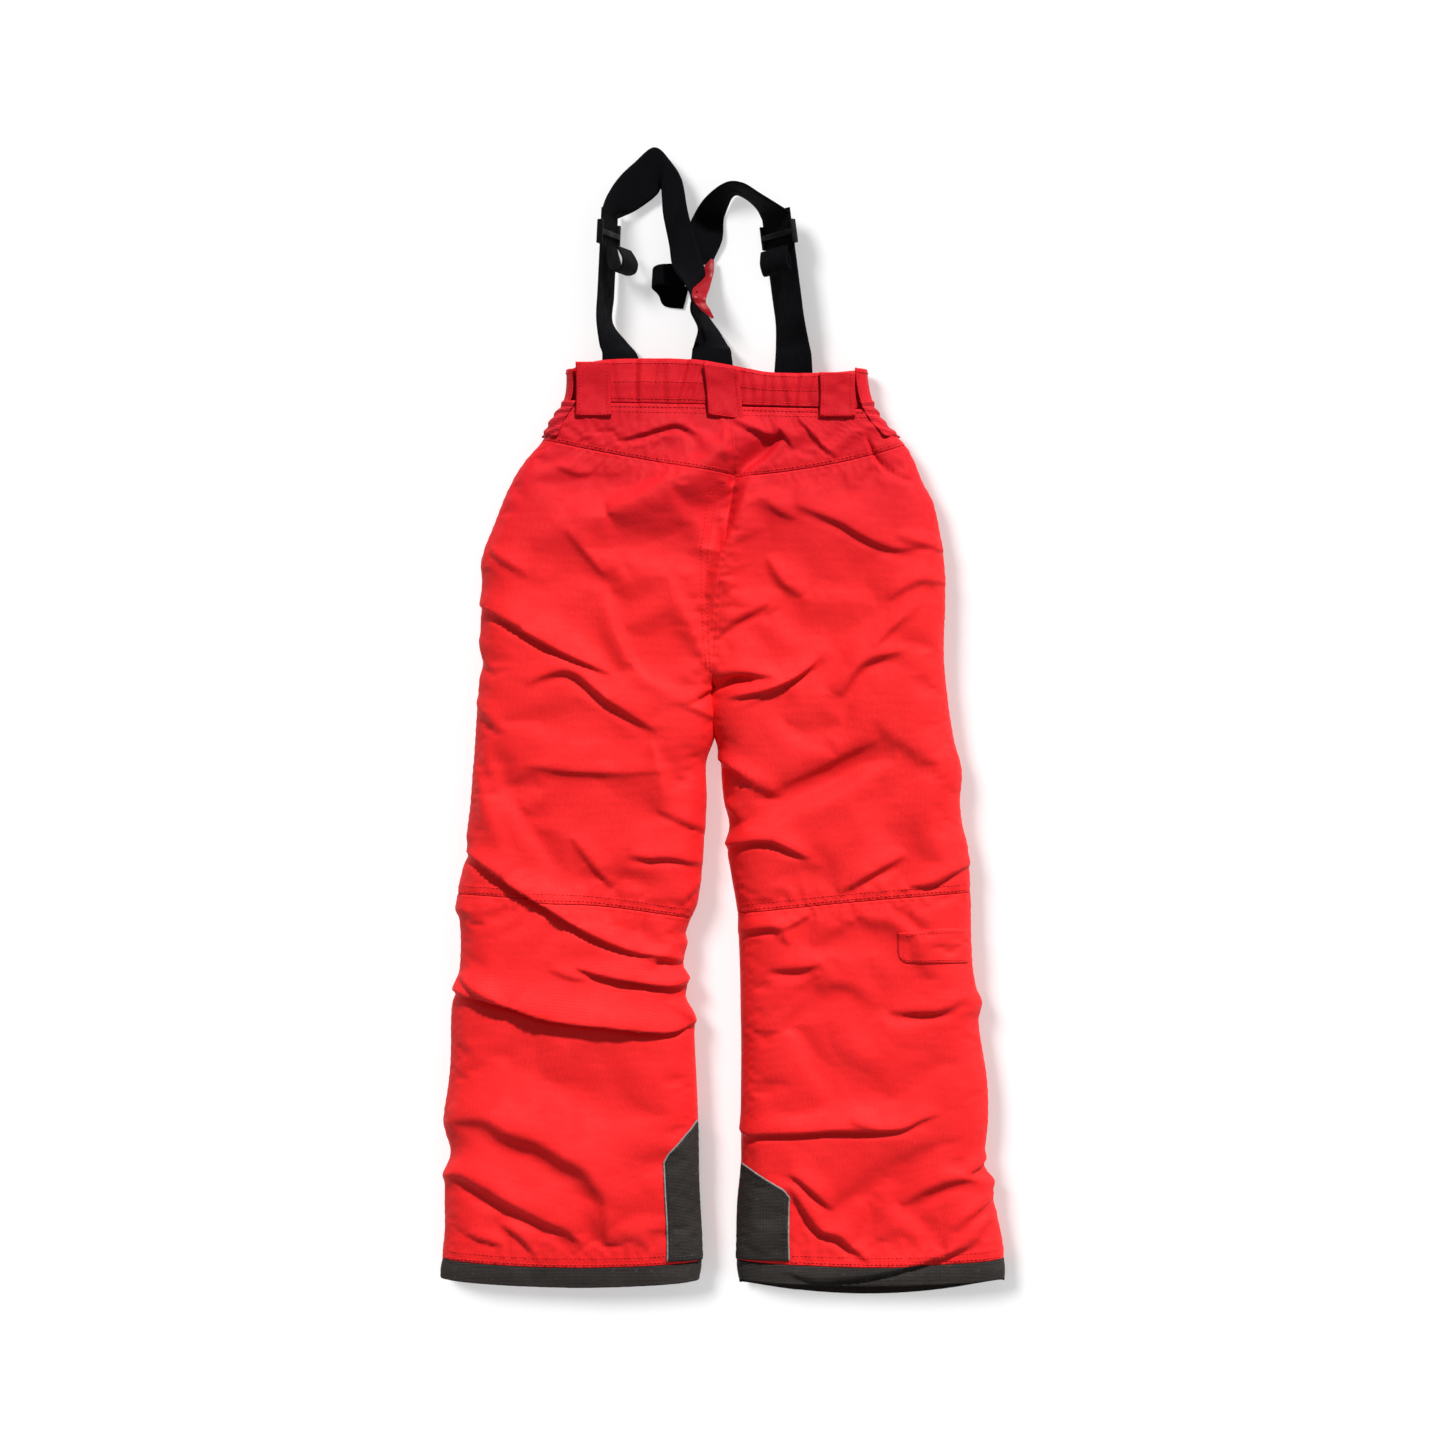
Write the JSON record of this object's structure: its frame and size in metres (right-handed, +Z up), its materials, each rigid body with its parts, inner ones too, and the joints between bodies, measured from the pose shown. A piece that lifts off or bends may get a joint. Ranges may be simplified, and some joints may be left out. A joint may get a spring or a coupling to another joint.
{
  "type": "ski pants",
  "caption": "Padded ski pants with elastic suspenders, belt loops, ankle scuff guards, snow gaiters and a leg pocket flap, laid flat with the back up.",
  "frame": {"origin": "on the surface that the garment lies on, under the centre of its outline", "axes": "+Z up out of the back of the garment, +Y from the hems towards the waist and the suspenders, +X to the wearer's right as it lies with its front down"},
  "size_m": [0.5671, 1.153, 0.0529],
  "materials": {
    "red_shell": "water-repellent plain-weave nylon with a soft sheen",
    "guard_cloth": "coarse matt reinforced weave",
    "lining": "thin smooth taffeta",
    "gaiter_cloth": "thin coated cloth with an elastic hem",
    "side_elastic": "gathered shell cloth over elastic",
    "zip_tape": "woven zip tape with coil teeth",
    "webbing": "ribbed elastic webbing",
    "junction_satin": "crumpled satin",
    "adjuster_plastic": "moulded, slightly glossy",
    "zip_metal": "dark plated"
  },
  "bodies": {
    "trousers": {"back_yoke_left": "red_shell", "back_yoke_right": "red_shell", "back_panel_left": "red_shell", "back_panel_right": "red_shell", "front_panel_left": "red_shell", "front_panel_right": "red_shell", "waistband_back": "red_shell", "waistband_front_left": "red_shell", "waistband_front_right": "red_shell", "belt_loop_back_left": "red_shell", "belt_loop_back_centre": "red_shell", "belt_loop_back_right": "red_shell", "belt_loop_front_left": "red_shell", "belt_loop_front_right": "red_shell", "side_elastic_left": "side_elastic", "side_elastic_right": "side_elastic", "seat_lining_back": "lining", "seat_lining_front": "lining", "fly_zip_tape": "zip_tape", "fly_placket": "red_shell", "waist_snap": "zip_metal", "hand_pocket_zip_left": "zip_tape", "hand_pocket_zip_right": "zip_tape", "back_strap_anchor": "webbing", "front_strap_anchor_left": "webbing", "front_strap_anchor_right": "webbing"},
    "lower_leg_left": {"lower_back_leg_left": "red_shell", "lower_front_leg_left": "red_shell", "hem_band_back_left": "guard_cloth", "hem_band_front_left": "guard_cloth", "scuff_guard_back_left": "guard_cloth", "scuff_guard_front_left": "guard_cloth", "leg_lining_left": "lining", "snow_gaiter_left": "gaiter_cloth"},
    "lower_leg_right": {"lower_back_leg_right": "red_shell", "lower_front_leg_right": "red_shell", "hem_band_back_right": "guard_cloth", "hem_band_front_right": "guard_cloth", "scuff_guard_back_right": "guard_cloth", "scuff_guard_front_right": "guard_cloth", "leg_lining_right": "lining", "snow_gaiter_right": "gaiter_cloth"},
    "pocket_flap": {"leg_pocket_flap": "red_shell"},
    "suspenders": {"back_strap": "webbing", "strap_junction_patch": "junction_satin", "strap_fold_tab": "webbing", "shoulder_strap_left": "webbing", "shoulder_strap_right": "webbing", "front_strap_left": "webbing", "front_strap_right": "webbing"},
    "adjuster_left": {"strap_adjuster_left": "adjuster_plastic", "strap_bight_left": "webbing"},
    "adjuster_right": {"strap_adjuster_right": "adjuster_plastic", "strap_bight_right": "webbing"},
    "side_tab_left": {"side_tab_left": "red_shell"},
    "side_tab_right": {"side_tab_right": "red_shell"},
    "fly_slider": {"fly_zip_slider": "zip_metal"},
    "hand_pocket_slider_left": {"hand_pocket_slider_left": "zip_metal"},
    "hand_pocket_slider_right": {"hand_pocket_slider_right": "zip_metal"}
  },
  "joints": [
    {"name": "knee_left", "type": "hinge", "parent": "trousers", "child": "lower_leg_left", "pos_m": [-0.148, -0.1705, 0.0515], "axis": [-1, 0, 0], "range_deg": [0, 120]},
    {"name": "knee_right", "type": "hinge", "parent": "trousers", "child": "lower_leg_right", "pos_m": [0.131, -0.1705, 0.0515], "axis": [-1, 0, 0], "range_deg": [0, 120]},
    {"name": "pocket_flap_hinge", "type": "hinge", "parent": "lower_leg_right", "child": "pocket_flap", "pos_m": [0.204, -0.2055, 0.0535], "axis": [-1, 0, 0], "range_deg": [0, 110]},
    {"name": "suspenders_fold", "type": "hinge", "parent": "trousers", "child": "suspenders", "pos_m": [0, 0.3665, 0.052], "axis": [1, 0, 0], "range_deg": [0, 150]},
    {"name": "adjuster_slide_left", "type": "slide", "parent": "suspenders", "child": "adjuster_left", "axis": [-0.048, -0.9988, 0], "range_m": [0, 0.055]},
    {"name": "adjuster_slide_right", "type": "slide", "parent": "suspenders", "child": "adjuster_right", "axis": [0.1287, -0.9917, 0], "range_m": [0, 0.055]},
    {"name": "side_tab_hinge_left", "type": "hinge", "parent": "trousers", "child": "side_tab_left", "pos_m": [-0.14336, 0.336, 0.03559], "axis": [0, 1, 0], "range_deg": [0, 75]},
    {"name": "side_tab_hinge_right", "type": "hinge", "parent": "trousers", "child": "side_tab_right", "pos_m": [0.13388, 0.336, 0.03559], "axis": [0, -1, 0], "range_deg": [0, 75]},
    {"name": "fly_slide", "type": "slide", "parent": "trousers", "child": "fly_slider", "axis": [0, -1, 0], "range_m": [0, 0.11]},
    {"name": "hand_pocket_slide_left", "type": "slide", "parent": "trousers", "child": "hand_pocket_slider_left", "axis": [-0.4751, -0.8799, 0], "range_m": [0, 0.09]},
    {"name": "hand_pocket_slide_right", "type": "slide", "parent": "trousers", "child": "hand_pocket_slider_right", "axis": [0.4292, -0.9032, 0], "range_m": [0, 0.09]}
  ]
}
